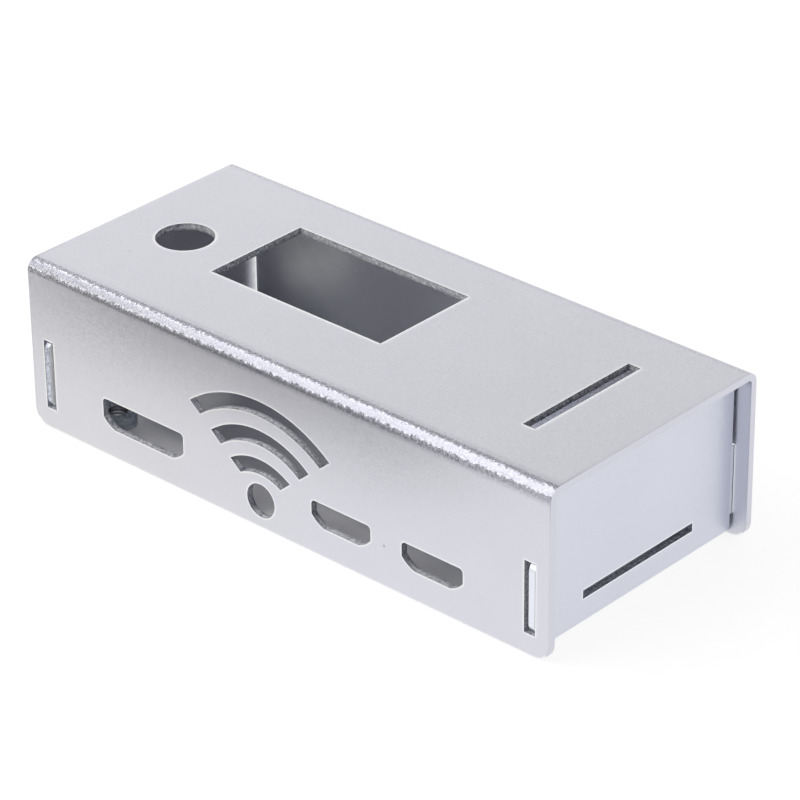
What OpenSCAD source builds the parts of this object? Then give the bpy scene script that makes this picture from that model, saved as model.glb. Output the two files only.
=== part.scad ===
// Two-piece folded sheet case for a small single-board computer.
// The cover is an inverted channel: top, front flange and rear flange.
// The tray is an upright channel: floor, left end wall and right end wall.
// Tabs with rounded corners on the end walls snap into upright slots in the flanges.
// X runs along the case, the ports face -Y, and Z = 0 is the surface it stands on.

/* [Sheet] */
// Thickness of the sheet that both pieces are folded from
sheet_t = 0.8; // [0.6:0.1:1.2]
// Inside radius of every fold
bend_r = 0.5; // [0.3:0.1:0.8]

/* [Board] */
// Length of the circuit board that the case is made for
board_l = 65; // [60:0.1:80]
// Width of the board
board_w = 30; // [28:0.1:40]
// Thickness of the board
board_t = 1.4; // [1:0.1:1.6]
// Distance of the board's mounting holes from its edges
hole_inset = 3.5; // [2.8:0.1:5]
// Clearance between each end of the board and the end wall
board_end_gap = 1.85; // [0.3:0.05:4]
// Clearance between each long edge of the board and the tray's edge
board_side_gap = 0.05; // [0.05:0.05:2]

/* [Cover] */
// Height from the flange edges to the top face
cover_h = 20; // [18:0.5:40]
// Radius of the four lower corners of the flanges
flange_corner_r = 2; // [0.5:0.1:2.4]

/* [Display window] */
// Length of the window along X
window_l = 24.6; // [10:0.1:30]
// Width of the window along Y
window_w = 13.8; // [6:0.1:20]
// Distance of the window's centre from the cover's centre along X
window_x = -7.9; // [-9:0.1:5]
// Distance of the window's centre from the cover's centre along Y
window_y = 1.9; // [-3:0.1:3]

/* [Antenna hole] */
// Diameter of the hole for a bulkhead antenna socket
antenna_d = 6.6; // [3:0.1:7.5]
// Distance of the hole's centre from the left end of the cover
antenna_from_end = 9; // [7.5:0.1:10.5]
// Distance of the hole from the cover's centre along Y
antenna_y = -1.1; // [-8:0.1:8]

/* [Flat cable slots] */
// Length of the slot in the top face along Y
top_slot_l = 16.6; // [8:0.1:24]
// Width of the slot in the top face along X
top_slot_w = 1.6; // [0.8:0.1:3]
// Distance of the top slot's centre from the right end of the cover
top_slot_from_end = 9.9; // [5:0.1:15]
// Distance of the top slot's centre from the cover's centre along Y
top_slot_y = 0.3; // [-2:0.1:2]
// Length of the slot in the right end wall along Y
end_slot_l = 17.5; // [8:0.1:22]
// Height of the slot in the right end wall
end_slot_h = 1; // [0.6:0.1:2]
// Height of the end slot's lower edge over the board's underside
end_slot_rise = 1.1; // [0.5:0.1:3]

/* [Memory card slot] */
// Length of the slot in the left end wall along Y
card_slot_l = 13; // [11.5:0.1:16]
// Height of the slot in the left end wall
card_slot_h = 2; // [1.2:0.1:3]
// Distance of the card slot's centre from the board's centre along Y
card_slot_y = 1.9; // [-3:0.1:3]

/* [Ports] */
// Distance of the video port's centre from the board's left end
video_from_end = 12.4; // [10:0.1:14]
// Distance of the data port's centre from the board's left end
data_from_end = 41.4; // [41:0.1:42.5]
// Distance of the power port's centre from the board's left end
power_from_end = 54; // [53.5:0.1:55]
// Length of the video port's opening
video_l = 12.2; // [8:0.1:13]
// Height of the video port's opening
video_h = 3.5; // [3:0.1:5]
// Length of the data and power ports' openings
data_l = 8.3; // [6:0.1:9]
// Height of the data and power ports' openings
data_h = 2.9; // [2.6:0.1:4]
// Depth of the openings' lower edges below the board's upper face
port_drop = 0.2; // [0.1:0.1:0.6]
// Length of the sloped lower corners along X
port_slope_l = 1.7; // [0.5:0.1:2.5]
// Height of the sloped lower corners
port_slope_h = 1.2; // [0.5:0.1:1.8]
// Radius of the bow in the sloped lower corners
port_slope_r = 3.5; // [3:0.1:8]
// Radius of the openings' upper corners
port_corner_r = 0.5; // [0.2:0.1:0.8]

/* [Signal vents] */
// Distance of the vents' middle from the board's left end
vent_from_end = 29.9; // [29:0.1:31]
// Height of the round vent's centre
dot_z = 3.3; // [3:0.1:4]
// Diameter of the round vent
dot_d = 4; // [2:0.1:4.5]
// Width of each curved vent
vent_w = 1.8; // [0.8:0.1:2]
// Height from the round vent's centre to the crest line of the first curved vent
vent_first = 4.1; // [3.5:0.1:4.2]
// Height from one crest line to the next
vent_pitch = 3.5; // [2.6:0.1:3.6]
// Radius of the first curved vent's middle line
inner_vent_r = 6.6; // [5:0.1:9]
// Radius of the second curved vent's middle line
middle_vent_r = 10.2; // [8:0.1:13]
// Radius of the third curved vent's middle line
outer_vent_r = 15.1; // [12:0.1:16]
// Angle from the upright to each line through the round vent that the curved vents end on
vent_angle = 50; // [35:1:54]

/* [Tray] */
// Distance of each end wall's outer face from the end of the cover
end_inset = 1.95; // [1.5:0.05:2.5]
// Clearance between the tray and each flange
side_gap = 0.35; // [0.2:0.05:0.6]
// Radius of the end walls' upper corners
wall_corner_r = 1; // [0.8:0.1:3]

/* [Snap tabs] */
// Height of each tab along the wall's edge
tab_h = 8.2; // [5:0.1:10]
// Height of the tabs' middle
tab_z = 6.7; // [6.6:0.1:10]
// Radius of the tabs' outer corners
tab_corner_r = 1.1; // [0.4:0.1:1.1]
// Clearance between a tab's outer face and the slot
tab_outer_play = 0.05; // [0.05:0.05:0.3]
// Clearance between a tab's inner face and the slot
tab_inner_play = 0.6; // [0.3:0.05:1]
// Clearance above and below a tab in the slot
tab_end_play = 0.1; // [0.05:0.05:0.5]

/* [Standoffs] */
// Height of the standoffs over the tray's floor
standoff_h = 1.5; // [1:0.1:2]
// Diameter of a standoff's barrel
standoff_d = 4.2; // [3.6:0.1:4.6]
// Diameter of a standoff's threaded bore at the thread crests
thread_d = 2.1; // [1.6:0.1:2.5]
// Width across the flats of a standoff's hexagonal head
head_flats = 4.8; // [4.8:0.1:5.6]
// Sheet left between the head's recess and the floor
head_web = 0.2; // [0.1:0.05:0.3]
// Clearance round a pressed-in standoff
press_gap = 0.02; // [0.01:0.01:0.05]

/* [Hidden] */
$fn = 96;
// Overshoot of a cutting shape past the face that it cuts
over = 1;
tray_l = board_l + 2 * (board_end_gap + sheet_t);
tray_w = board_w + 2 * board_side_gap;
cover_l = tray_l + 2 * end_inset;
cover_w = tray_w + 2 * (side_gap + sheet_t);
front_y = -cover_w / 2;
antenna_x = antenna_from_end - cover_l / 2;
top_slot_x = cover_l / 2 - top_slot_from_end;
hole_span_x = board_l - 2 * hole_inset;
hole_span_y = board_w - 2 * hole_inset;
wall_h = cover_h - sheet_t;
head_h = sheet_t - head_web;
board_under_z = sheet_t + standoff_h;
board_top_z = board_under_z + board_t;
port_z = board_top_z - port_drop;
slot_w = sheet_t + tab_outer_play + tab_inner_play;
slot_h = tab_h + 2 * tab_end_play;
slot_x = cover_l / 2 - end_inset + tab_outer_play - slot_w / 2;
tab_reach = side_gap + sheet_t;
// Straight distance between the ends of a port's sloped corner
slope_chord = norm([port_slope_l, port_slope_h]);
slope_rise = sqrt(pow(port_slope_r, 2) - pow(slope_chord / 2, 2));

// A rectangle standing on the X axis with its two upper corners rounded.
module round_top(width, height, r) {
    translate([-width / 2, 0]) square([width, height - r]);
    translate([-width / 2 + r, 0]) square([width - 2 * r, height]);
    for (side = [-1, 1]) translate([side * (width / 2 - r), height - r]) circle(r);
}

// A sheet folded into an inverted channel, extruded along Z about its middle.
module folded_channel(width, height, length) {
    linear_extrude(length, center = true) difference() {
        round_top(width, height, bend_r + sheet_t);
        translate([0, -over]) round_top(width - 2 * sheet_t, height - sheet_t + over, bend_r);
    }
}

// The four places of the board's mounting holes.
module at_board_holes() {
    for (x = [-1, 1], y = [-1, 1]) translate([x * hole_span_x / 2, y * hole_span_y / 2, 0]) children();
}

// Turns a flat outline in X and Z into a cutter through the front flange.
module through_front() {
    translate([0, front_y + sheet_t + over, 0]) rotate([90, 0, 0])
        linear_extrude(sheet_t + 2 * over) children();
}

// The outline of a port: bowed slopes for lower corners and rounded upper corners.
module port_outline(length, height) {
    difference() {
        round_top(length, height, port_corner_r);
        for (side = [0, 1]) mirror([side, 0]) translate([length / 2, 0]) difference() {
            translate([-port_slope_l, -over]) square([port_slope_l + over, port_slope_h + over]);
            translate([
                -port_slope_l / 2 - slope_rise * port_slope_h / slope_chord,
                port_slope_h / 2 + slope_rise * port_slope_l / slope_chord
            ]) circle(port_slope_r);
        }
    }
}

// A ring for one curved vent, with its crest line at the given height.
module vent_ring(r, crest) {
    translate([0, crest - r]) difference() {
        circle(r + vent_w / 2);
        circle(r - vent_w / 2);
    }
}

// The signal-shaped group of vents: a dot, and three rings cut down to arcs by a
// wedge that opens upwards from the dot's centre.
module signal_vents() {
    circle(d = dot_d);
    intersection() {
        union() {
            vent_ring(inner_vent_r, vent_first);
            vent_ring(middle_vent_r, vent_first + vent_pitch);
            vent_ring(outer_vent_r, vent_first + 2 * vent_pitch);
        }
        polygon([
            [0, 0],
            [cover_h * tan(vent_angle), cover_h],
            [-cover_h * tan(vent_angle), cover_h]
        ]);
    }
}

// The sharp corners that rounding takes off the lower ends of both flanges.
module flange_corner_cuts() {
    r = flange_corner_r;
    for (side = [0, 1]) mirror([side, 0, 0]) translate([cover_l / 2, 0, 0]) difference() {
        translate([-r, -cover_w / 2 - over, -over]) cube([r + over, cover_w + 2 * over, r + over]);
        translate([-r, 0, r]) rotate([90, 0, 0]) cylinder(r = r, h = cover_w + 4 * over, center = true);
    }
}

// The openings in the top face: window, antenna hole and flat cable slot.
module top_openings() {
    translate([0, 0, cover_h - sheet_t - over]) linear_extrude(sheet_t + 2 * over) {
        translate([window_x, window_y]) square([window_l, window_w], center = true);
        translate([top_slot_x, top_slot_y]) square([top_slot_w, top_slot_l], center = true);
    }
    translate([antenna_x, antenna_y, cover_h - sheet_t - over])
        cylinder(d = antenna_d, h = sheet_t + 2 * over);
}

// The openings in the front flange: three ports and the signal vents.
module front_openings() {
    through_front() {
        translate([video_from_end - board_l / 2, port_z]) port_outline(video_l, video_h);
        for (from_end = [data_from_end, power_from_end])
            translate([from_end - board_l / 2, port_z]) port_outline(data_l, data_h);
        translate([vent_from_end - board_l / 2, dot_z]) signal_vents();
    }
}

// The upright slots near both ends of both flanges.
module tab_slots() {
    for (side = [-1, 1]) translate([side * slot_x, 0, tab_z])
        cube([slot_w, cover_w + 2 * over, slot_h], center = true);
}

module cover() {
    color("silver") difference() {
        rotate([90, 0, 90]) folded_channel(cover_w, cover_h, cover_l);
        flange_corner_cuts();
        top_openings();
        front_openings();
        tab_slots();
    }
}

// The tray seen along X: the width of the floor, with a tab on each edge of the
// end walls.
module tray_outline() {
    round_top(tray_w, wall_h, wall_corner_r);
    for (side = [-1, 1]) translate([side * (tray_w / 2 - over), tab_z]) rotate(-90 * side)
        round_top(tab_h, tab_reach + over, tab_corner_r);
}

// The holes and hexagonal recesses that the standoffs are pressed into.
module standoff_seats() {
    at_board_holes() {
        translate([0, 0, -over]) cylinder(d = standoff_d + 2 * press_gap, h = sheet_t + 2 * over);
        translate([0, 0, -over]) cylinder(d = hex_d(head_flats + 2 * press_gap), h = head_h + over, $fn = 6);
    }
}

// The slots in the end walls: flat cable on the right, memory card on the left.
module end_openings() {
    cut_l = sheet_t + 2 * over;
    translate([tray_l / 2 - sheet_t - over, -end_slot_l / 2, board_under_z + end_slot_rise])
        cube([cut_l, end_slot_l, end_slot_h]);
    translate([-tray_l / 2 - over, card_slot_y - card_slot_l / 2, port_z])
        cube([cut_l, card_slot_l, card_slot_h]);
}

module tray() {
    color("silver") difference() {
        intersection() {
            translate([0, 0, wall_h]) rotate([-90, 0, 0]) folded_channel(tray_l, wall_h, cover_w + 2 * over);
            rotate([90, 0, 90]) linear_extrude(tray_l, center = true) tray_outline();
        }
        standoff_seats();
        end_openings();
    }
}

// Diameter over the corners of a hexagon from its width across the flats.
function hex_d(flats) = flats / cos(30);

module standoffs() {
    color("slategray") at_board_holes() difference() {
        union() {
            cylinder(d = hex_d(head_flats), h = head_h, $fn = 6);
            cylinder(d = standoff_d, h = sheet_t + standoff_h);
        }
        translate([0, 0, -over]) cylinder(d = thread_d, h = sheet_t + standoff_h + 2 * over);
    }
}

cover();
tray();
standoffs();
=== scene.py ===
# %% [markdown]
# # A folded aluminium case, dressed for its picture
# The case is two folded sheets: a cover that is an upside-down channel, and a tray that
# is an upright one. The imported model already has their exact shapes, so this lesson is
# about what a model alone doesn't show: how blasted and anodised aluminium takes the
# light, how cut edges differ from faces, and how to set up a small studio.
# First the imported model is loaded.

# %% Load the imported model
import math

import bpy
import numpy as np
from mathutils import Matrix, Vector


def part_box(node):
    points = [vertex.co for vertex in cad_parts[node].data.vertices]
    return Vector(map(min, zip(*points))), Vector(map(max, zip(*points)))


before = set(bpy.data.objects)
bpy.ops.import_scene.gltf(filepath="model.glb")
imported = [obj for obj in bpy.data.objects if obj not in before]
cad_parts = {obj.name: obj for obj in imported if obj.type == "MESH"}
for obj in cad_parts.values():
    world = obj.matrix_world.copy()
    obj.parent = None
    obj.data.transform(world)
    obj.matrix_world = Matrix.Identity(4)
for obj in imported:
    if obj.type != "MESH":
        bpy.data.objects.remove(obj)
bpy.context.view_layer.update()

MM = 0.001
scene = bpy.context.scene

# %% [markdown]
# ## The camera
# A camera's place can be worked out from a photograph. The straight edges and corners
# of the case were marked on it, and a pinhole camera was fitted until the model's own
# edges fell on them. The fit gives an azimuth, an elevation, a small roll, a distance,
# a focal length in pixels and the point that the camera looks at. Here they are turned
# back into a Blender camera. A fit is better than moving the camera by eye, because a
# few numbers then settle every edge.

# %% Camera from the fitted pinhole
PICTURE_SIDE = 800
SENSOR_MM = 36.0
azimuth, elevation, roll = np.radians([42.615, 29.293, -0.62])
focal_px = 3896.8
distance = 412.23 * MM
target = Vector((2.461, 0.0, 10.477)) * MM
NEAR_CLIP = 0.01
FAR_CLIP = 20.0


def camera_axes(azimuth, elevation, roll):
    """Three unit vectors: right, up and back.

    Back points from the target to the camera: level, it is turned from minus Y towards
    plus X by the azimuth, and it is then raised by the elevation. Right lies level, up
    is back crossed with right, and the roll turns both of them about back.
    """
    level = math.cos(elevation)
    back = Vector((math.sin(azimuth) * level, -math.cos(azimuth) * level, math.sin(elevation)))
    right = Vector((math.cos(azimuth), math.sin(azimuth), 0.0))
    up = back.cross(right)
    turned_right = right * math.cos(roll) + up * math.sin(roll)
    turned_up = up * math.cos(roll) - right * math.sin(roll)
    return turned_right, turned_up, back


axes = camera_axes(azimuth, elevation, roll)
camera_data = bpy.data.cameras.new("camera")
camera_data.sensor_width = SENSOR_MM
camera_data.lens = focal_px / PICTURE_SIDE * SENSOR_MM
camera_data.clip_start = NEAR_CLIP
camera_data.clip_end = FAR_CLIP
camera = bpy.data.objects.new("camera", camera_data)
camera_place = Matrix.Translation(target + axes[2] * distance)
camera.matrix_world = camera_place @ Matrix(axes).transposed().to_4x4()
scene.collection.objects.link(camera)
scene.camera = camera
print("lens in mm", round(camera_data.lens, 2), "camera at", [round(v, 4) for v in camera.location])

# %% [markdown]
# ## Small tools for shader nodes
# Every finish below is a small graph of nodes. Written out one by one, such graphs are
# long and hard to read, so a few helpers come first. Each adds one node, links what it
# is given and returns the socket that comes out, so that a graph reads like a formula.

# %% Node helpers
def plug(tree, socket, value):
    """Links a socket, or sets a plain number, a triple or a colour on it."""
    if isinstance(value, bpy.types.NodeSocket):
        tree.links.new(value, socket)
    else:
        socket.default_value = value


def math_node(tree, operation, *operands):
    """One Math node with up to three operands, each a socket or a number."""
    node = tree.nodes.new("ShaderNodeMath")
    node.operation = operation
    for socket, value in zip(node.inputs, operands):
        plug(tree, socket, value)
    return node.outputs["Value"]


def vector_node(tree, operation, *operands):
    """One Vector Math node with operands that are sockets or triples. Its result is a
    number for a dot product or a distance, and a vector for the rest."""
    node = tree.nodes.new("ShaderNodeVectorMath")
    node.operation = operation
    for socket, value in zip(node.inputs, operands):
        plug(tree, socket, value)
    return node.outputs["Value" if operation in ("DOT_PRODUCT", "DISTANCE") else "Vector"]


def product(tree, *factors):
    """All the factors multiplied, each a socket or a number."""
    result = factors[0]
    for factor in factors[1:]:
        result = math_node(tree, "MULTIPLY", result, factor)
    return result


def inverse(tree, mask):
    """One minus the mask."""
    return math_node(tree, "SUBTRACT", 1.0, mask)


def parts_of(tree, vector):
    """The numbers of a vector as three sockets, named X, Y and Z."""
    node = tree.nodes.new("ShaderNodeSeparateXYZ")
    tree.links.new(vector, node.inputs[0])
    return node.outputs


def stretched(tree, vector, factor):
    """A vector times one number, which is a socket or a plain number."""
    node = tree.nodes.new("ShaderNodeVectorMath")
    node.operation = "SCALE"
    plug(tree, node.inputs[0], vector)
    plug(tree, node.inputs["Scale"], factor)
    return node.outputs["Vector"]


def step(tree, value, low, high, at_low=0.0, at_high=1.0):
    """A soft step: at_low below low, at_high above high, and a smooth change between."""
    node = tree.nodes.new("ShaderNodeMapRange")
    node.interpolation_type = "SMOOTHSTEP"
    node.inputs["From Min"].default_value = low
    node.inputs["From Max"].default_value = high
    node.inputs["To Min"].default_value = at_low
    node.inputs["To Max"].default_value = at_high
    tree.links.new(value, node.inputs["Value"])
    return node.outputs["Result"]


def mix_colours(tree, factor, first, second):
    """A colour that goes from first to second as factor goes from 0 to 1."""
    node = tree.nodes.new("ShaderNodeMix")
    node.data_type = "RGBA"
    plug(tree, node.inputs["Factor"], factor)
    plug(tree, node.inputs["A"], first)
    plug(tree, node.inputs["B"], second)
    return node.outputs["Result"]


def mix_vectors(tree, factor, first, second):
    """A vector that goes from first to second as factor goes from 0 to 1. The node's
    sockets for numbers, vectors and colours share their names, so places are used."""
    factor_place, first_place, second_place, result_place = 0, 4, 5, 1
    node = tree.nodes.new("ShaderNodeMix")
    node.data_type = "VECTOR"
    plug(tree, node.inputs[factor_place], factor)
    plug(tree, node.inputs[first_place], first)
    plug(tree, node.inputs[second_place], second)
    return node.outputs[result_place]


helpers = (plug, math_node, vector_node, product, inverse, parts_of, stretched, step,
           mix_colours, mix_vectors)
print("helpers", [helper.__name__ for helper in helpers])

# %% [markdown]
# ## The floor
# The photograph's background is plain white paper. White paper under a lamp renders
# grey, and more light would spoil the case, so the paper shines a little by itself, but
# only for the rays that the camera, a mirror or a glass sends. For all other rays it is
# plain paper. A part of its own shading is mixed in, which keeps the case's shadow.

# %% Floor
FLOOR_HALF_SIDE = 2.0
PAPER_COLOUR = (0.93, 0.93, 0.93, 1.0)
PAPER_ROUGHNESS = 0.9
SHINING_SHARE = 0.8
SHINING_STRENGTH = 1.04


def flat_sheet(name, corners):
    """An object with one face whose corners are rows of x, y and z in metres."""
    mesh = bpy.data.meshes.new(name)
    mesh.from_pydata(np.asarray(corners, dtype=float).tolist(), [], [tuple(range(len(corners)))])
    sheet = bpy.data.objects.new(name, mesh)
    scene.collection.objects.link(sheet)
    return sheet


def paper_finish():
    """Matt paper that shines by itself for camera, glossy and transmission rays."""
    material = bpy.data.materials.new("floor_paper")
    material.use_nodes = True
    tree = material.node_tree
    shader = tree.nodes["Principled BSDF"]
    shader.inputs["Base Color"].default_value = PAPER_COLOUR
    shader.inputs["Roughness"].default_value = PAPER_ROUGHNESS
    shader.inputs["Specular IOR Level"].default_value = 0.0
    rays = tree.nodes.new("ShaderNodeLightPath").outputs
    mirrored = math_node(tree, "MAXIMUM", rays["Is Glossy Ray"], rays["Is Transmission Ray"])
    seen = math_node(tree, "MAXIMUM", rays["Is Camera Ray"], mirrored)
    shining = tree.nodes.new("ShaderNodeEmission")
    shining.inputs["Strength"].default_value = SHINING_STRENGTH
    both = tree.nodes.new("ShaderNodeMixShader")
    tree.links.new(product(tree, seen, SHINING_SHARE), both.inputs["Fac"])
    tree.links.new(shader.outputs["BSDF"], both.inputs[1])
    tree.links.new(shining.outputs["Emission"], both.inputs[2])
    tree.links.new(both.outputs["Shader"], tree.nodes["Material Output"].inputs["Surface"])
    return material


square = np.array([(-1, -1, 0), (1, -1, 0), (1, 1, 0), (-1, 1, 0)])
floor = flat_sheet("floor", square * FLOOR_HALF_SIDE)
floor.data.materials.append(paper_finish())
print("floor", floor.dimensions[:], "m")

# %% [markdown]
# ## The light tent
# Blasted metal is a soft mirror: what it shows is the room. The room here is a light
# tent. It is bright behind and overhead, and dim low in front, where it is open for the
# camera. A world shader gives that as a function of direction, which is smooth, free of
# noise and easy to reason about. Each ramp below is a list of heights (the sine of the
# elevation) with the strength that is seen there. The rear one has a darker band halfway
# up: it makes the top a little greyer, and where a fold leaves the top it mirrors the
# band, which draws a dark line there.

# %% Light tent
FRONT_RAMP = ((0.0, 0.20), (0.15, 0.20), (0.35, 0.50), (1.0, 0.90))
REAR_RAMP = ((0.0, 1.02), (0.56, 1.08), (0.64, 0.38), (0.73, 0.38), (0.84, 0.80), (1.0, 0.90))
OPEN_SIDE = (-0.68, -0.73, 0.0)
OPEN_REACH = (0.05, 0.5)
TOP_STRENGTH = 2.0


def ramp_node(tree, height, stops):
    """A colour ramp used for plain numbers, each divided by the top strength to fit a
    colour. A new ramp has two stops already, so only the others are added."""
    ramp = tree.nodes.new("ShaderNodeValToRGB")
    ramp.color_ramp.interpolation = "EASE"
    elements = ramp.color_ramp.elements
    for position, _ in stops[2:]:
        elements.new(position)
    for element, (position, strength) in zip(elements, stops):
        element.position = position
        element.color = (strength / TOP_STRENGTH,) * 3 + (1.0,)
    tree.links.new(height, ramp.inputs["Fac"])
    return ramp.outputs["Color"]


world = bpy.data.worlds.new("light_tent")
world.use_nodes = True
scene.world = world
tent = world.node_tree
direction = tent.nodes.new("ShaderNodeTexCoord").outputs["Generated"]
height = parts_of(tent, direction)["Z"]
front = ramp_node(tent, height, FRONT_RAMP)
rear = ramp_node(tent, height, REAR_RAMP)
openness = step(tent, vector_node(tent, "DOT_PRODUCT", direction, OPEN_SIDE), *OPEN_REACH)
background = tent.nodes["Background"]
background.inputs["Strength"].default_value = TOP_STRENGTH
tent.links.new(mix_colours(tent, openness, rear, front), background.inputs["Color"])
print("tent strengths", sorted({strength for _, strength in FRONT_RAMP + REAR_RAMP}))

# %% [markdown]
# ## The softbox and the dark card
# One softbox at the front left gives the long highlight on the cover's fold. Its power
# follows from the brightness it should have when looked at: area times brightness, four
# times over for Blender's watts. The front flange mirrors the table, and in the
# photograph it darkens towards the fold. A photographer gets that with a dark card on
# the table, outside the picture. The card here is seen only by reflections. At the end
# the view is set to Standard, which shows the computed tones as they are.

# %% Softbox and card
SOFTBOX_DIRECTION = Vector((-0.59, -0.52, 0.62)).normalized()
SOFTBOX_DISTANCE = 0.5
SOFTBOX_SIDES = (0.60, 0.56)
SOFTBOX_RADIANCE = 1.6
POWER_FACTOR = 4
CARD_HEIGHT_MM = 0.5
CARD_CORNERS_MM = ((-62, -38), (8, -38), (-900, -1144), (-1200, -1144))
CARD_COLOUR = (0.25, 0.25, 0.25, 1.0)

lamp_data = bpy.data.lights.new("softbox", "AREA")
lamp_data.shape = "RECTANGLE"
lamp_data.size, lamp_data.size_y = SOFTBOX_SIDES
lamp_data.energy = POWER_FACTOR * SOFTBOX_SIDES[0] * SOFTBOX_SIDES[1] * SOFTBOX_RADIANCE
lamp = bpy.data.objects.new("softbox", lamp_data)
turned = SOFTBOX_DIRECTION.to_track_quat("Z", "Y").to_matrix().to_4x4()
lamp.matrix_world = Matrix.Translation(target + SOFTBOX_DIRECTION * SOFTBOX_DISTANCE) @ turned
scene.collection.objects.link(lamp)

card = flat_sheet("dark_card", [(x * MM, y * MM, CARD_HEIGHT_MM * MM) for x, y in CARD_CORNERS_MM])
card_finish = bpy.data.materials.new("dark_card")
card_finish.use_nodes = True
card_shader = card_finish.node_tree.nodes["Principled BSDF"]
card_shader.inputs["Base Color"].default_value = CARD_COLOUR
card_shader.inputs["Specular IOR Level"].default_value = 0.0
card.data.materials.append(card_finish)
card.visible_camera = False
card.visible_diffuse = False
card.visible_shadow = False
scene.view_settings.view_transform = "Standard"
print("softbox", round(lamp_data.energy, 2), "W", "card reaches", card.dimensions[:2], "m")

# %% [markdown]
# ## Where a point lies on the sheet
# A folded sheet has three kinds of surface: outer faces, inner faces, and the narrow cut
# edges where the sheet was cut through. The model has one mesh for all of them, so the
# material tells them apart by where a point lies. Its distances are taken in millimetres
# from the boxes of the two pieces, so these masks follow the model when its size changes.

# %% Masks from the position
cover_low, cover_high = (np.array(corner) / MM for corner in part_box("cover"))
tray_low, tray_high = (np.array(corner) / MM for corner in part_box("tray"))
SHEET_MM = 0.8
FOLD_MM = 1.3
FAR_MM = 1000.0
INNER_DEPTH_MM = (-0.9 * SHEET_MM, -0.7 * SHEET_MM)
CUT_TURN = (0.45, 0.55)
fold_top = cover_high[2] - FOLD_MM
fold_side = cover_high[1] - FOLD_MM


def millimetres(tree):
    """Object coordinates in millimetres: the vector, its x, y and z, and y without its sign."""
    vector = stretched(tree, tree.nodes.new("ShaderNodeTexCoord").outputs["Object"], 1 / MM)
    parts = parts_of(tree, vector)
    x, y, z = (parts[name] for name in "XYZ")
    return {"vector": vector, "x": x, "y": y, "z": z, "across": math_node(tree, "ABSOLUTE", y)}


def cover_depth(tree, place):
    """Minus the depth in mm under the cover's outer faces: the larger of the distances to
    the side plane and to the top plane, both negative inside."""
    side = math_node(tree, "SUBTRACT", place["across"], cover_high[1])
    top = math_node(tree, "SUBTRACT", place["z"], cover_high[2])
    return math_node(tree, "MAXIMUM", side, top)


def tray_depth(tree, place):
    """Minus the depth in mm under the tray's outer faces: its two end planes and its floor."""
    end = math_node(tree, "SUBTRACT", math_node(tree, "ABSOLUTE", place["x"]), tray_high[0])
    return math_node(tree, "MAXIMUM", end, product(tree, place["z"], -1.0))


def below_skin(tree, depth):
    """1 on the sheet's inner faces and 0 on its outer ones, from one of the two depths."""
    return step(tree, depth, *INNER_DEPTH_MM, 1.0, 0.0)


def cut_mask(tree, place, normal, core_low, core_high):
    """1 on the sheet's cut edges and 0 on its faces.

    The core is a box inside the channel, without its folds. The point minus the nearest
    point of the core runs along the normal on a face, and across it on a cut edge.
    """
    raised = vector_node(tree, "MAXIMUM", place["vector"], core_low)
    nearest = vector_node(tree, "MINIMUM", raised, core_high)
    away = vector_node(tree, "NORMALIZE", vector_node(tree, "SUBTRACT", place["vector"], nearest))
    along = math_node(tree, "ABSOLUTE", vector_node(tree, "DOT_PRODUCT", away, normal))
    return step(tree, along, *CUT_TURN, 1.0, 0.0)


print("fold starts at z", round(fold_top, 2), "and y", round(fold_side, 2), "mm")

# %% [markdown]
# ## The grain of blasted aluminium
# Fine grit leaves dimples of a tenth to a quarter of a millimetre, and anodising seals
# them under a clear, faintly blue skin. Two things make that look. A Voronoi texture
# gives each dimple three random numbers, which tip the surface a little to a side of
# their own, and a fine noise lifts and lowers it. On the folds and on cut edges the
# grain is coarser, so a noise with larger blobs tips the surface there. A picture of
# real grain would do too, but it blurs when one zooms in, and numbers don't.

# %% Grain
DIMPLE_MM = 0.17
COARSE_MM = 0.30
NOISE_RANGE = (0.3, 0.7)
PLAIN_DETAIL = 2.0
PLAIN_ROUGHNESS = 0.5
RICH_DETAIL = 3.0


def noise_texture(tree, place, grain_mm, detail=PLAIN_DETAIL, roughness=PLAIN_ROUGHNESS):
    """The outputs of a noise whose blobs are about grain_mm across."""
    node = tree.nodes.new("ShaderNodeTexNoise")
    node.inputs["Scale"].default_value = 1.0 / grain_mm
    node.inputs["Detail"].default_value = detail
    node.inputs["Roughness"].default_value = roughness
    tree.links.new(place["vector"], node.inputs["Vector"])
    return node.outputs


def noise(tree, place, grain_mm, **finer):
    """One noise from 0 to 1, which stays in the noise range nearly everywhere. Finer may
    set the texture's detail and roughness."""
    return noise_texture(tree, place, grain_mm, **finer)["Fac"]


def noise_three(tree, place, grain_mm):
    """Three noises at once, each like the one above."""
    return noise_texture(tree, place, grain_mm)["Color"]


def dimples(tree, place, size_mm):
    """Three random numbers from 0 to 1, the same all over one cell of about size_mm."""
    node = tree.nodes.new("ShaderNodeTexVoronoi")
    node.inputs["Scale"].default_value = 1.0 / size_mm
    tree.links.new(place["vector"], node.inputs["Vector"])
    return node.outputs["Color"]


def tipped(tree, normal, random_three, amount):
    """The normal plus the random numbers, centred on nought and times twice the amount."""
    centred = vector_node(tree, "SUBTRACT", random_three, (0.5, 0.5, 0.5))
    tip = stretched(tree, centred, product(tree, amount, 2.0))
    return vector_node(tree, "NORMALIZE", vector_node(tree, "ADD", normal, tip))


def bump(tree, height, distance, normal):
    """Lifts the surface by height (0 to 1) times distance in metres."""
    node = tree.nodes.new("ShaderNodeBump")
    node.inputs["Strength"].default_value = 1.0
    node.inputs["Distance"].default_value = distance
    tree.links.new(height, node.inputs["Height"])
    tree.links.new(normal, node.inputs["Normal"])
    return node.outputs["Normal"]


print("dimples per mm", round(1 / DIMPLE_MM, 1), "coarse blobs per mm", round(1 / COARSE_MM, 1))

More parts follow.
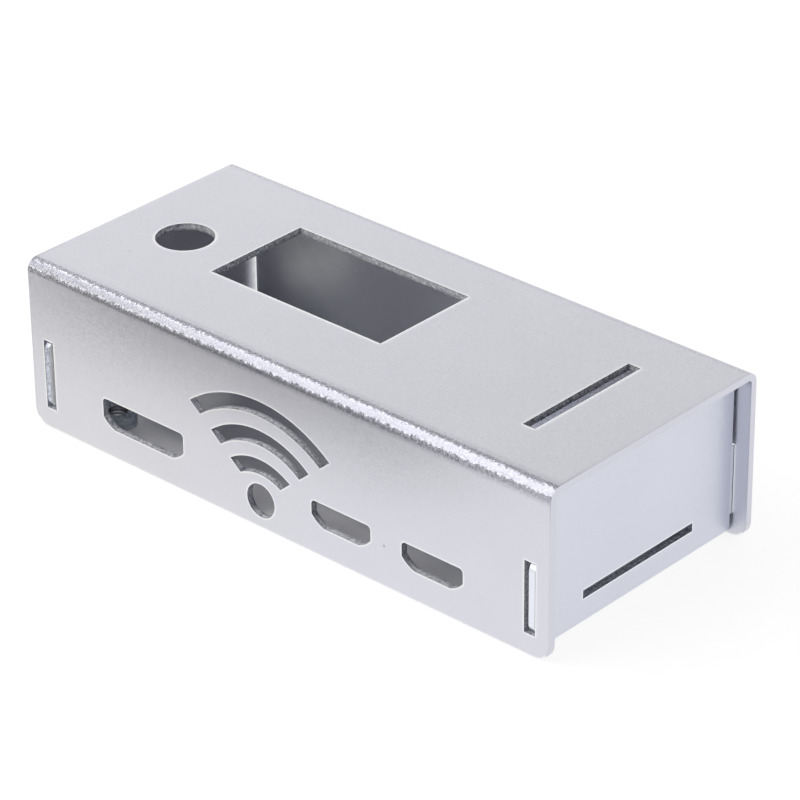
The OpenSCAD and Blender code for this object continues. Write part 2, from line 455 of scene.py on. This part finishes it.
# %% [markdown]
# ## Places on the long folds
# The cover's two long folds need names for their places. The foot is where a flange
# meets its fold, and the rim is where the fold meets the top. Most things on a fold also
# change towards the case's two ends, so that gets a small tool as well.

# %% Places on the fold
END_REACH_MM = 34.0
FOLD_BORDER_MM = (-0.25, 0.1)


def fold_places(tree, place):
    """Two distances in mm: how far a point lies above the fold's foot, and how far outside
    its rim. On the fold both run from 0 to its radius."""
    above_foot = math_node(tree, "SUBTRACT", place["z"], fold_top)
    outside_rim = math_node(tree, "SUBTRACT", place["across"], fold_side)
    return above_foot, outside_rim


def fold_share(tree, above_foot, outside_rim):
    """1 on the fold and 0 from a quarter of a millimetre outside it."""
    return step(tree, math_node(tree, "MINIMUM", above_foot, outside_rim), *FOLD_BORDER_MM)


def towards_ends(tree, x, at_ends):
    """1 in the middle of the case, and the two given numbers at its left and right end."""
    left = step(tree, x, cover_low[0], cover_low[0] + END_REACH_MM, at_ends[0], 1.0)
    right = step(tree, x, cover_high[0] - END_REACH_MM, cover_high[0], 1.0, at_ends[1])
    return product(tree, left, right)


print("ends change over", END_REACH_MM, "of", round(cover_high[0] - cover_low[0], 1), "mm")

# %% [markdown]
# ## The painted shade beside the highlight
# Along the fold's highlight run two ragged dark lines, at the fold's foot and at its rim.
# They are painted shade: there the colour is mixed towards a dark one. Two soft hills say
# how deep the painted shade is, and a noise of a third of a millimetre tears them. Without
# the noise it would be simpler, but the lines would look too even.

# %% Shade on the fold
FOOT_HILL_MM = (-0.80, 0.05, 0.16, 0.50)
FOOT_SHADE = 0.39
FOOT_ENDS = (0.0, 1.05)
RIM_HILL_MM = (-1.05, -0.30, 0.30, 1.00)
RIM_SHADE = 0.18
RIM_ENDS = (0.26, 1.05)
TEAR_MM = 0.33
TEAR_DEPTH = 0.58
TEAR_ROUGHNESS = 0.7


def hill(tree, value, stops, height):
    """A soft hill: it rises between the first two stops, falls between the last two, and
    has the given height on top."""
    rise = step(tree, value, stops[0], stops[1])
    return product(tree, rise, step(tree, value, stops[2], stops[3], height, 0.0))


def painted_fold_shade(tree, place, above_foot, outside_rim):
    """How deep the painted shade is, from 0 to 1: a hill over the fold's foot, plus a lower
    one over the front fold's rim, times a noise that swings around 1 by the tear's depth."""
    foot = hill(tree, above_foot, FOOT_HILL_MM, FOOT_SHADE)
    foot = product(tree, foot, towards_ends(tree, place["x"], FOOT_ENDS))
    in_front = math_node(tree, "LESS_THAN", place["y"], 0.0)
    rim = product(tree, hill(tree, outside_rim, RIM_HILL_MM, RIM_SHADE), in_front)
    rim = product(tree, rim, towards_ends(tree, place["x"], RIM_ENDS))
    tear = noise(tree, place, TEAR_MM, detail=RICH_DETAIL, roughness=TEAR_ROUGHNESS)
    torn = step(tree, tear, *NOISE_RANGE, 1.0 - TEAR_DEPTH, 1.0 + TEAR_DEPTH)
    return product(tree, math_node(tree, "ADD", foot, rim), torn)


print("deepest shade at the foot", FOOT_SHADE, "and at the rim", RIM_SHADE)

# %% [markdown]
# ## The bow of the flanges
# The flanges also bow a little towards the fold, by three degrees or so. That is too
# slight to model, and the exact sheet should stay flat, so the normal is tipped upwards
# instead: most at the fold, and less with each millimetre below it.

# %% Bow
BOW_TIP = 0.06
BOW_REACH_MM = 4.5
BOW_LEFT = (-36.0, -20.0, 0.55, 1.0)
BOW_RIGHT = (22.0, 39.0, 1.0, 0.25)


def bowed(tree, place, above_foot, normal):
    """The normal of the outer flanges, tipped up: the tip falls by a factor e with each
    reach below the fold, and is weaker towards both ends."""
    below = math_node(tree, "MAXIMUM", product(tree, above_foot, -1.0), 0.0)
    fall = math_node(tree, "EXPONENT", math_node(tree, "DIVIDE", below, -BOW_REACH_MM))
    ends = product(tree, step(tree, place["x"], *BOW_LEFT), step(tree, place["x"], *BOW_RIGHT))
    outwards = product(tree, parts_of(tree, normal)["Y"], math_node(tree, "SIGN", place["y"]))
    upright = math_node(tree, "MAXIMUM", outwards, 0.0)
    on_flange = math_node(tree, "LESS_THAN", above_foot, 0.0)
    tip = stretched(tree, (0.0, 0.0, BOW_TIP), product(tree, ends, fall, upright, on_flange))
    return vector_node(tree, "NORMALIZE", vector_node(tree, "ADD", normal, tip))


print("bow at the fold in degrees", round(math.degrees(BOW_TIP), 1))

# %% [markdown]
# ## Edge highlights
# Along every cut edge runs a bright line one or two tenths of a millimetre wide, where a
# slightly rounded edge would catch the light; the line is a painted highlight, helped a
# little by a turned normal. Cycles' Bevel node gives the normal that a rounded edge would
# have, and how far it turns from the real one says where the edge is. The model stays
# sharp, and the line is still there. On the top the lines are wider than on the sides.

# %% Edges
EDGE_RADIUS = 0.55 * MM
TOP_EDGE_RADIUS = 0.90 * MM
EDGE_SAMPLES = 6
EDGE_TURN = 0.12
EDGE_ALIKE = (0.82, 0.995)
UPWARDS = (0.6, 0.9)


def rounded_normal(tree, normal):
    """The normal turned a little towards the one that a rounded edge would have, and a mask
    that is 1 on the edge and 0 away from it."""
    bevel = tree.nodes.new("ShaderNodeBevel")
    bevel.samples = EDGE_SAMPLES
    true_normal = tree.nodes.new("ShaderNodeNewGeometry").outputs["True Normal"]
    upwards = parts_of(tree, true_normal)["Z"]
    radius = step(tree, upwards, *UPWARDS, EDGE_RADIUS, TOP_EDGE_RADIUS)
    plug(tree, bevel.inputs["Radius"], radius)
    alike = vector_node(tree, "DOT_PRODUCT", bevel.outputs["Normal"], true_normal)
    apart = vector_node(tree, "SUBTRACT", bevel.outputs["Normal"], true_normal)
    turned_normal = vector_node(tree, "ADD", normal, stretched(tree, apart, EDGE_TURN))
    return turned_normal, step(tree, alike, *EDGE_ALIKE, 1.0, 0.0)


print("edge lines reach", round(EDGE_RADIUS / MM, 2), "mm, on the top", round(TOP_EDGE_RADIUS / MM, 2))

# %% [markdown]
# ## Insides, painted shade and painted light
# The insides are the same metal, and what they mirror is the dark room of the case, so
# they look dark; their colour is also a little darker and bluer, as painted shade. Some
# places get painted light instead: a pale colour, and less metal, so that they are dull.
# The two largest are soft pools of painted light, given by a centre and two reaches and
# broken up by a cloudy noise. Cut edges that face upwards get such specks of painted
# light as well, and the two finishes below add a few strips.

# %% Pale places
PAINTED_LIGHT_METAL = 0.1
COVER_LIGHT_POOL = ((-25.5, 15.4, 15.0), 3.0, 9.5)
TRAY_LIGHT_POOL = ((-28.0, -2.0, 0.8), 3.0, 7.0)
CLOUD_MM = 2.4
CLOUD_SHARES = (0.75, 1.0)
SPECK_UPWARDS = (0.6, 0.98)
SPECK_RANGE = (0.36, 0.64)
SPECK_SHARES = (0.15, 0.8)


def painted_light_pool(tree, place, light_pool):
    """A pool of painted light: 1 near the centre and 0 beyond the far reach, with clouds of a
    few millimetres.
    """
    centre, near, far = light_pool
    away = vector_node(tree, "DISTANCE", place["vector"], centre)
    clouds = step(tree, noise(tree, place, CLOUD_MM, detail=RICH_DETAIL), *NOISE_RANGE, *CLOUD_SHARES)
    return product(tree, step(tree, away, near, far, 1.0, 0.0), clouds)


def painted_light_specks(tree, normal, coarse_three):
    """Specks of painted light on surfaces that face upwards, from the first of the coarse noises."""
    upwards = step(tree, parts_of(tree, normal)["Z"], *SPECK_UPWARDS)
    specks = step(tree, parts_of(tree, coarse_three)["X"], *SPECK_RANGE, *SPECK_SHARES)
    return product(tree, upwards, specks)


print("pale places at", COVER_LIGHT_POOL[0], "and", TRAY_LIGHT_POOL[0], "mm")

# %% [markdown]
# ## The colours of the sheet
# A punch tears through the last third of a sheet, so a cut face has light and dark
# specks and a darker rim, and over its edge runs the line of painted highlight. All
# colours are a little blue from the anodised skin. They are mixed one over the other by
# the masks, from the widest to the narrowest.

# %% Colours
SHEET_COLOUR = (0.70, 0.70, 0.757, 1.0)
DRIFT_COLOUR = (0.688, 0.688, 0.745, 1.0)
DRIFT_MM = 14.0
DRIFT_RANGE = (0.35, 0.65)
# The insides' colour: a little darker and bluer than the sheet, as painted shade.
INNER_SHADE_COLOUR = (0.665, 0.673, 0.74, 1.0)
PAINTED_LIGHT_COLOUR = (0.94, 0.94, 0.97, 1.0)
CUT_COLOUR = (0.68, 0.69, 0.74, 1.0)
CUT_SHADE = (0.34, 0.35, 0.39, 1.0)
CUT_RIM = (0.22, 0.225, 0.25, 1.0)
CUT_RANGE = (0.38, 0.62)
RIM_SHARE = 0.6
EDGE_HIGHLIGHT_COLOUR = (1.0, 1.0, 1.0, 1.0)


def new_finish(name):
    """A new material with its node tree and its Principled shader, set to metal."""
    material = bpy.data.materials.new(name)
    material.use_nodes = True
    shader = material.node_tree.nodes["Principled BSDF"]
    shader.inputs["Metallic"].default_value = 1.0
    return material, material.node_tree, shader


def sheet_colour(tree, place, masks, coarse_three):
    """The colour of any point: slow drift on the faces, then the insides in painted shade, cut
    edges with light and dark specks, places of painted light, and the line of painted
    highlight along the edges over all of them."""
    drift = step(tree, noise(tree, place, DRIFT_MM), *DRIFT_RANGE)
    colour = mix_colours(tree, drift, DRIFT_COLOUR, SHEET_COLOUR)
    colour = mix_colours(tree, masks["inner"], colour, INNER_SHADE_COLOUR)
    speckle = step(tree, parts_of(tree, coarse_three)["Y"], *CUT_RANGE)
    specks = mix_colours(tree, speckle, CUT_SHADE, CUT_COLOUR)
    colour = mix_colours(tree, masks["cut"], colour, specks)
    colour = mix_colours(tree, masks["painted_light"], colour, PAINTED_LIGHT_COLOUR)
    rim = product(tree, masks["turn"], masks["cut"], RIM_SHARE)
    colour = mix_colours(tree, rim, colour, CUT_RIM)
    # Painted highlight: a white line along the edges.
    return mix_colours(tree, masks["edge"], colour, EDGE_HIGHLIGHT_COLOUR)


print("sheet colour", SHEET_COLOUR[:3], "insides", INNER_SHADE_COLOUR[:3])

# %% [markdown]
# ## Roughness and relief of the sheet
# Both sheets share what makes them rough: a grain noise moves the roughness up and down
# a little and lifts the surface by a little over a hundredth of a millimetre, and the
# dimples or the coarse noise tip it. A larger tip on the whole face would be easy, but
# then the faces sparkle like sandpaper, and the photograph's faces are calm.

# %% Roughness and relief
FACE_TIP = 0.028
FOLD_TIP = 0.29
CUT_TIP = 0.55
ROUGHNESS = (0.35, 0.42)
CUT_ROUGHER = 0.15
GRAIN_MM = 0.24
GRAIN_ROUGHNESS = 0.6
FINE_MM = 0.11
FINE_DETAIL = 1.0
FINE_SHARE = 0.4
GRAIN_HEIGHT = 0.014 * MM


def sheet_tip(tree, place, normal, coarse_three, cut, fold):
    """The tipped normal: by its dimple on the faces, and by the coarse noise on the fold
    and on cut edges, each by its own amount."""
    on_face = tipped(tree, normal, dimples(tree, place, DIMPLE_MM), FACE_TIP)
    amount = math_node(tree, "MAXIMUM", product(tree, cut, CUT_TIP), product(tree, fold, FOLD_TIP))
    on_coarse = tipped(tree, normal, coarse_three, amount)
    return mix_vectors(tree, math_node(tree, "MAXIMUM", cut, fold), on_face, on_coarse)


def sheet_surface(tree, shader, place, masks, rougher, ground):
    """Sets roughness, metal share and relief. Rougher is added to the roughness, and ground
    is the tipped normal on which the relief stands."""
    grain = noise(tree, place, GRAIN_MM, detail=RICH_DETAIL, roughness=GRAIN_ROUGHNESS)
    rough = math_node(tree, "ADD", step(tree, grain, *NOISE_RANGE, *ROUGHNESS), rougher)
    rough = math_node(tree, "MULTIPLY_ADD", masks["cut"], CUT_ROUGHER, rough)
    plug(tree, shader.inputs["Roughness"], rough)
    metal = math_node(tree, "MULTIPLY_ADD", masks["painted_light"], PAINTED_LIGHT_METAL - 1.0, 1.0)
    plug(tree, shader.inputs["Metallic"], metal)
    fine = noise(tree, place, FINE_MM, detail=FINE_DETAIL)
    relief = math_node(tree, "MULTIPLY_ADD", fine, FINE_SHARE, grain)
    plug(tree, shader.inputs["Normal"], bump(tree, relief, GRAIN_HEIGHT, ground))


print("tips of the normal", FACE_TIP, FOLD_TIP, CUT_TIP, "roughness", ROUGHNESS)

# %% [markdown]
# ## The cover's finish
# The cover joins all of this. Its end planes and lower corners were brushed smooth, so
# they don't count as cut. As the photograph shows, the front flange is a little warmer at
# the left, and two small nicks are left from handling. The top gets a painted shade that
# darkens it by a few hundredths from left to right. First come the masks, which say where
# each look belongs.

# %% Cover masks
END_PLANE_MM = 0.01
OFF_END_MM = 0.5
CORNER_MM = 2.2
FRONT_PAINTED_LIGHT_MM = (8.0, 13.0)
FRONT_WALL_PAINTED_LIGHT = 0.35
WALL_FRONTWARDS = (-0.9, -0.5)
NICKS_MM = ((14.93, -16.2, 4.86), (-30.21, -7.42, 20.0))
NICK_REACH_MM = (0.06, 0.28)
NICK_SHADES = (0.55, 0.25)


def cover_masks(tree, place, normal, edge, coarse_three):
    """The masks of the cover: cut edges, faces, insides, edge lines of painted highlight, the
    dark lines at its ends, its end planes and places of painted light. A face is neither cut
    nor an end plane."""
    core_low = (-FAR_MM, -fold_side, -FAR_MM)
    core_high = (FAR_MM, fold_side, fold_top)
    punched = cut_mask(tree, place, normal, core_low, core_high)
    from_middle = math_node(tree, "ABSOLUTE", place["x"])
    between_ends = math_node(tree, "LESS_THAN", from_middle, cover_high[0] - END_PLANE_MM)
    off_ends = math_node(tree, "LESS_THAN", from_middle, cover_high[0] - OFF_END_MM)
    near_end = math_node(tree, "GREATER_THAN", from_middle, cover_high[0] - CORNER_MM)
    corner = product(tree, near_end, math_node(tree, "LESS_THAN", place["z"], cover_low[2] + CORNER_MM))
    cut = product(tree, punched, between_ends, inverse(tree, corner))
    face = product(tree, inverse(tree, punched), between_ends)
    inner = product(tree, below_skin(tree, cover_depth(tree, place)), face)
    ball = product(tree, painted_light_pool(tree, place, COVER_LIGHT_POOL), inner)
    specks = product(tree, painted_light_specks(tree, normal, coarse_three), cut)
    # Painted light on the front part of the insides and on cut faces that face the front.
    front_part = product(tree, inner, step(tree, place["y"], *FRONT_PAINTED_LIGHT_MM, 1.0, 0.0))
    front_wall = step(tree, parts_of(tree, normal)["Y"], *WALL_FRONTWARDS, FRONT_WALL_PAINTED_LIGHT, 0.0)
    painted_light = math_node(tree, "MAXIMUM", math_node(tree, "MAXIMUM", ball, specks), front_part)
    painted_light = math_node(tree, "MAXIMUM", painted_light, product(tree, front_wall, cut))
    line = product(tree, edge, face)
    return {"cut": cut, "face": face, "inner": inner, "turn": edge, "painted_light": painted_light,
            "edge": product(tree, line, off_ends),
            "end_line": product(tree, line, inverse(tree, off_ends)),
            "end_plane": inverse(tree, between_ends)}


def nicks(tree, place):
    """The shade of the small nicks, each a soft ball around its place."""
    shade = 0.0
    for centre, depth in zip(NICKS_MM, NICK_SHADES):
        away = vector_node(tree, "DISTANCE", place["vector"], centre)
        shade = math_node(tree, "MAXIMUM", step(tree, away, *NICK_REACH_MM, depth, 0.0), shade)
    return shade


print("cover masks use the box", cover_low.round(2).tolist(), cover_high.round(2).tolist(), "mm")

# %% [markdown]
# ### The fold's sparkle and the whole cover
# The fold's colour is scaled by a painted highlight strength: lowest on its ridge, and
# rising from left to right. The fold is also a little bluer than the faces, and a fine
# random swing of its colour, strongest at the left, where the highlight is weakest, makes
# it sparkle. A thin dark line runs along the cover's ends and is deepest beside the fold.
# The last function joins the masks and all the looks in one material.

# %% Cover finish
# The dark colour of the painted shade on the fold and along the cover's ends, and of the small nicks.
PAINTED_SHADE_AND_NICK_COLOUR = (0.27, 0.275, 0.31, 1.0)
END_LINE_SIDE = (16.2, 18.6, 0.24, 0.60)
END_LINE_TOP = (-15.5, -7.0, 0.40, 0.0)
END_PLANE_TINT = (0.96, 0.97, 0.99)
TOP_PAINTED_SHADE_PER_MM = -0.0011
# Factors of the fold's painted highlight strength.
FOLD_HIGHLIGHT_PAINT = 0.80
FOLD_RISE_PER_MM = 0.004
FOLD_ENDS = (0.86, 1.0)
RIDGE_MM = (0.32, 0.80)
RIDGE_HIGHLIGHT_PAINT = 0.58
SPARKLE_MM = 0.16
SPARKLE_NOISE = (0.34, 0.66, -1.0, 1.0)
SPARKLE_ALONG_MM = (-36.0, 8.0, 0.27, 0.10)
FOLD_TINT = (0.965, 0.968, 1.0)
FOLD_SMOOTHER = -0.12
WARM_FRONTWARDS = (-0.9, -0.6)
WARM_REACH_MM = (-30.0, 12.0)
WARM_TINT = (1.0, 0.995, 0.96)


def painted_fold_highlight(tree, place, inside_fold):
    """The painted highlight strength of the fold, a factor on its colour beside a face: a
    little less at its borders, least on its ridge, and more from left to right there. A fine
    sparkle, stronger at the left, swings around 1."""
    ridge = step(tree, inside_fold, *RIDGE_MM)
    rise = math_node(tree, "MULTIPLY_ADD", place["x"], FOLD_RISE_PER_MM, 1.0)
    on_ridge = product(tree, rise, towards_ends(tree, place["x"], FOLD_ENDS), RIDGE_HIGHLIGHT_PAINT)
    lowered = math_node(tree, "SUBTRACT", on_ridge, 1.0)
    highlight_paint = math_node(tree, "MULTIPLY_ADD", ridge, lowered, 1.0)
    swing = step(tree, noise(tree, place, SPARKLE_MM), *SPARKLE_NOISE)
    strength = step(tree, place["x"], *SPARKLE_ALONG_MM)
    sparkle = math_node(tree, "MULTIPLY_ADD", swing, strength, 1.0)
    return product(tree, highlight_paint, sparkle, FOLD_HIGHLIGHT_PAINT)


def end_line_shade(tree, place, facing_up):
    """How dark the thin line along the cover's ends is: on the flanges it deepens up to the
    fold, and on the top it fades from the front fold to the rear."""
    on_side = step(tree, place["z"], *END_LINE_SIDE)
    on_top = step(tree, place["y"], *END_LINE_TOP)
    less = math_node(tree, "SUBTRACT", on_top, on_side)
    return math_node(tree, "MULTIPLY_ADD", facing_up, less, on_side)


def cover_finish():
    """Blasted aluminium with sparkling folds, bowed flanges and brushed edges."""
    material, tree, shader = new_finish("blasted_cover")
    place = millimetres(tree)
    normals = tree.nodes.new("ShaderNodeNewGeometry").outputs
    above_foot, outside_rim = fold_places(tree, place)
    turned, edge = rounded_normal(tree, bowed(tree, place, above_foot, normals["Normal"]))
    coarse_three = noise_three(tree, place, COARSE_MM)
    masks = cover_masks(tree, place, normals["True Normal"], edge, coarse_three)
    colour = sheet_colour(tree, place, masks, coarse_three)
    facing = parts_of(tree, normals["True Normal"])
    facing_up = step(tree, facing["Z"], *UPWARDS)
    # Painted shade: the faces that look up get a little darker from left to right.
    top_painted_shade = math_node(tree, "MULTIPLY_ADD", place["x"], TOP_PAINTED_SHADE_PER_MM, 1.0)
    colour = mix_colours(tree, facing_up, colour, stretched(tree, colour, top_painted_shade))
    warm = product(tree, step(tree, facing["Y"], *WARM_FRONTWARDS, 1.0, 0.0),
                   step(tree, place["x"], *WARM_REACH_MM, 1.0, 0.0))
    colour = mix_colours(tree, warm, colour, vector_node(tree, "MULTIPLY", colour, WARM_TINT))
    on_end = vector_node(tree, "MULTIPLY", colour, END_PLANE_TINT)
    colour = mix_colours(tree, masks["end_plane"], colour, on_end)
    # Painted highlight: the fold's colour is scaled by its painted highlight strength.
    fold = product(tree, fold_share(tree, above_foot, outside_rim), masks["face"])
    highlight_paint = painted_fold_highlight(tree, place, math_node(tree, "MINIMUM", above_foot, outside_rim))
    on_fold = vector_node(tree, "MULTIPLY", stretched(tree, colour, highlight_paint), FOLD_TINT)
    colour = mix_colours(tree, fold, colour, on_fold)
    # Painted shade at the fold's foot and rim and along the cover's ends; the nicks are real marks.
    dark = product(tree, painted_fold_shade(tree, place, above_foot, outside_rim), masks["face"])
    end_line = product(tree, masks["end_line"], end_line_shade(tree, place, facing_up))
    dark = math_node(tree, "MAXIMUM", dark, end_line)
    dark = math_node(tree, "MAXIMUM", dark, nicks(tree, place))
    plug(tree, shader.inputs["Base Color"], mix_colours(tree, dark, colour, PAINTED_SHADE_AND_NICK_COLOUR))
    ground = sheet_tip(tree, place, turned, coarse_three, masks["cut"], fold)
    sheet_surface(tree, shader, place, masks, product(tree, fold, FOLD_SMOOTHER), ground)
    return material


finishes = {"cover": cover_finish()}
print("cover nodes", len(finishes["cover"].node_tree.nodes))

# %% [markdown]
# ## The tray's finish
# The tray is from the same sheet, a little bluer. Its tabs are rubbed smooth by the slots
# that they snap into and carry a painted highlight, both more at the right end. Behind the
# ports the floor has a strip of painted light. The inside of the left wall has painted
# shade up to its rear edge, and a painted reflection brightens the insides next to the
# walls' rear edges.

# %% Tray
SIDE_GAP_MM = 0.35
TAB_RUB_MM = 0.15
OFF_TAB_MM = 1.0
RUB_AND_HIGHLIGHT_ENDS = (-10.0, 10.0, 0.15, 1.0)
RUB_SMOOTH = 0.95
TAB_HIGHLIGHT = 0.45
FLOOR_STRIP_MM = (-11.0, -8.0)
TRAY_TINT = (0.985, 1.01, 1.045)
LEFT_WALL_MM = (-35.5, -34.0)
LEFT_WALL_END_MM = (13.2, 14.6)
LEFT_WALL_PAINTED_SHADE = 0.74
WALL_END_PAINTED_LIGHT = (13.8, 15.0, 1.0, 1.45)
INNER_TINT = (0.98, 0.98, 0.955)
INNER_ROUGHER = 0.08


def tray_masks(tree, place, normal, edge):
    """The masks of the tray: cut edges without the rubbed tabs, insides, edge lines of painted
    highlight with the tabs' painted highlight, and places of painted light."""
    core_low = (tray_low[0] + FOLD_MM, -FAR_MM, FOLD_MM)
    core_high = (tray_high[0] - FOLD_MM, FAR_MM, FAR_MM)
    punched = cut_mask(tree, place, normal, core_low, core_high)
    face = inverse(tree, punched)
    inner = product(tree, below_skin(tree, tray_depth(tree, place)), face)
    wall_edge = cover_high[1] - SHEET_MM - SIDE_GAP_MM
    # Tabs: rubbed smooth, and given a painted highlight that is stronger at the right end.
    rubbed_and_highlit = product(tree, step(tree, place["across"], wall_edge - TAB_RUB_MM, wall_edge),
                     step(tree, place["x"], *RUB_AND_HIGHLIGHT_ENDS))
    off_tabs = math_node(tree, "LESS_THAN", place["across"], wall_edge - OFF_TAB_MM)
    # Painted light: a strip of the floor behind the ports, and a pool on the floor.
    strip = product(tree, inner, step(tree, place["y"], *FLOOR_STRIP_MM, 1.0, 0.0))
    ball = product(tree, inner, painted_light_pool(tree, place, TRAY_LIGHT_POOL))
    line = product(tree, edge, face, off_tabs)
    return {"cut": product(tree, punched, inverse(tree, product(tree, rubbed_and_highlit, RUB_SMOOTH))),
            "inner": inner, "turn": edge, "painted_light": math_node(tree, "MAXIMUM", ball, strip),
            "edge": math_node(tree, "MAXIMUM", line, product(tree, rubbed_and_highlit, TAB_HIGHLIGHT))}


def tray_finish():
    """The same sheet, with its tabs rubbed smooth and given a painted highlight beside the
    flanges.
    """
    material, tree, shader = new_finish("blasted_tray")
    place = millimetres(tree)
    normals = tree.nodes.new("ShaderNodeNewGeometry").outputs
    turned, edge = rounded_normal(tree, normals["Normal"])
    coarse_three = noise_three(tree, place, COARSE_MM)
    masks = tray_masks(tree, place, normals["True Normal"], edge)
    colour = sheet_colour(tree, place, masks, coarse_three)
    tinted = vector_node(tree, "MULTIPLY", colour, TRAY_TINT)
    # Painted shade on the inside of the left wall, and a painted reflection that brightens the insides
    # next to the walls' rear edges.
    left_wall_shade = product(tree, step(tree, place["x"], *LEFT_WALL_MM, LEFT_WALL_PAINTED_SHADE, 0.0),
                        step(tree, place["y"], *LEFT_WALL_END_MM, 1.0, 0.0))
    painted_wall_light_and_shade = product(tree, inverse(tree, left_wall_shade), step(tree, place["y"], *WALL_END_PAINTED_LIGHT))
    shaded = stretched(tree, colour, painted_wall_light_and_shade)
    shaded = vector_node(tree, "MULTIPLY", shaded, INNER_TINT)
    plug(tree, shader.inputs["Base Color"], mix_colours(tree, masks["inner"], tinted, shaded))
    ground = sheet_tip(tree, place, turned, coarse_three, masks["cut"], 0.0)
    sheet_surface(tree, shader, place, masks, product(tree, masks["inner"], INNER_ROUGHER), ground)
    return material


finishes["tray"] = tray_finish()
print("tray nodes", len(finishes["tray"].node_tree.nodes))

# %% [markdown]
# ## The standoffs' finish
# The standoffs are turned from steel and plated, so they are smoother and a little more
# blue than the sheet. Their thread isn't modelled. A helix is a simple thing to write
# as a pattern: the height on the thread is the distance up the bore, in turns, minus
# the angle around it, also in turns, and its fraction goes up and down once per turn.

# %% Standoffs
BOARD_HOLE_X_MM = 29.0
BOARD_HOLE_Y_MM = 11.5
BORE_RADIUS_MM = 1.05
BORE_BORDER_MM = (BORE_RADIUS_MM + 0.02, BORE_RADIUS_MM + 0.12)
THREAD_PITCH_MM = 0.45
THREAD_HEIGHT = 0.04 * MM
RINGS_PER_MM = 5.0
RING_SHARE = 0.06
STEEL_COLOUR = (0.50, 0.54, 0.59, 1.0)
STEEL_SHADE = (0.38, 0.42, 0.47, 1.0)
BORE_SHADE_COLOUR = (0.26, 0.265, 0.285, 1.0)
SMUDGE_MM = 0.8
SMUDGE_RANGE = (0.35, 0.65)
ROUGH_MM = 0.3
STEEL_ROUGHNESS = (0.26, 0.38)


def standoff_finish():
    """Plated steel, turned in fine rings, with a threaded bore in painted shade."""
    material, tree, shader = new_finish("plated_standoffs")
    place = millimetres(tree)
    middle_x = product(tree, math_node(tree, "SIGN", place["x"]), BOARD_HOLE_X_MM)
    middle_y = product(tree, math_node(tree, "SIGN", place["y"]), BOARD_HOLE_Y_MM)
    dx = math_node(tree, "SUBTRACT", place["x"], middle_x)
    dy = math_node(tree, "SUBTRACT", place["y"], middle_y)
    squares = math_node(tree, "MULTIPLY_ADD", dx, dx, product(tree, dy, dy))
    radius = math_node(tree, "SQRT", squares)
    bore = step(tree, radius, *BORE_BORDER_MM, 1.0, 0.0)
    turns = math_node(tree, "DIVIDE", math_node(tree, "ARCTAN2", dy, dx), 2 * math.pi)
    climb = math_node(tree, "SUBTRACT", math_node(tree, "DIVIDE", place["z"], THREAD_PITCH_MM), turns)
    thread = product(tree, math_node(tree, "PINGPONG", climb, 0.5), bore)
    rings = math_node(tree, "PINGPONG", product(tree, radius, RINGS_PER_MM), 0.5)
    relief = math_node(tree, "MULTIPLY_ADD", rings, RING_SHARE, thread)
    smudge = step(tree, noise(tree, place, SMUDGE_MM, detail=RICH_DETAIL), *SMUDGE_RANGE)
    steel = mix_colours(tree, smudge, STEEL_SHADE, STEEL_COLOUR)
    # The bore is painted dark: painted shade inside the hole.
    plug(tree, shader.inputs["Base Color"], mix_colours(tree, bore, steel, BORE_SHADE_COLOUR))
    rough = step(tree, noise(tree, place, ROUGH_MM), *NOISE_RANGE, *STEEL_ROUGHNESS)
    plug(tree, shader.inputs["Roughness"], rough)
    turned, _ = rounded_normal(tree, tree.nodes.new("ShaderNodeNewGeometry").outputs["Normal"])
    plug(tree, shader.inputs["Normal"], bump(tree, relief, THREAD_HEIGHT, turned))
    return material


finishes["standoffs"] = standoff_finish()
print("standoff nodes", len(finishes["standoffs"].node_tree.nodes))

# %% [markdown]
# ## Putting the finishes on
# Each imported piece gets its material in its only slot. No point of a mesh is moved, so
# the picture and the exact model have the same shape.

# %% Put the finishes on
for node_name, finish in finishes.items():
    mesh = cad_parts[node_name].data
    mesh.materials.clear()
    mesh.materials.append(finish)
    print(node_name, "wears", finish.name)
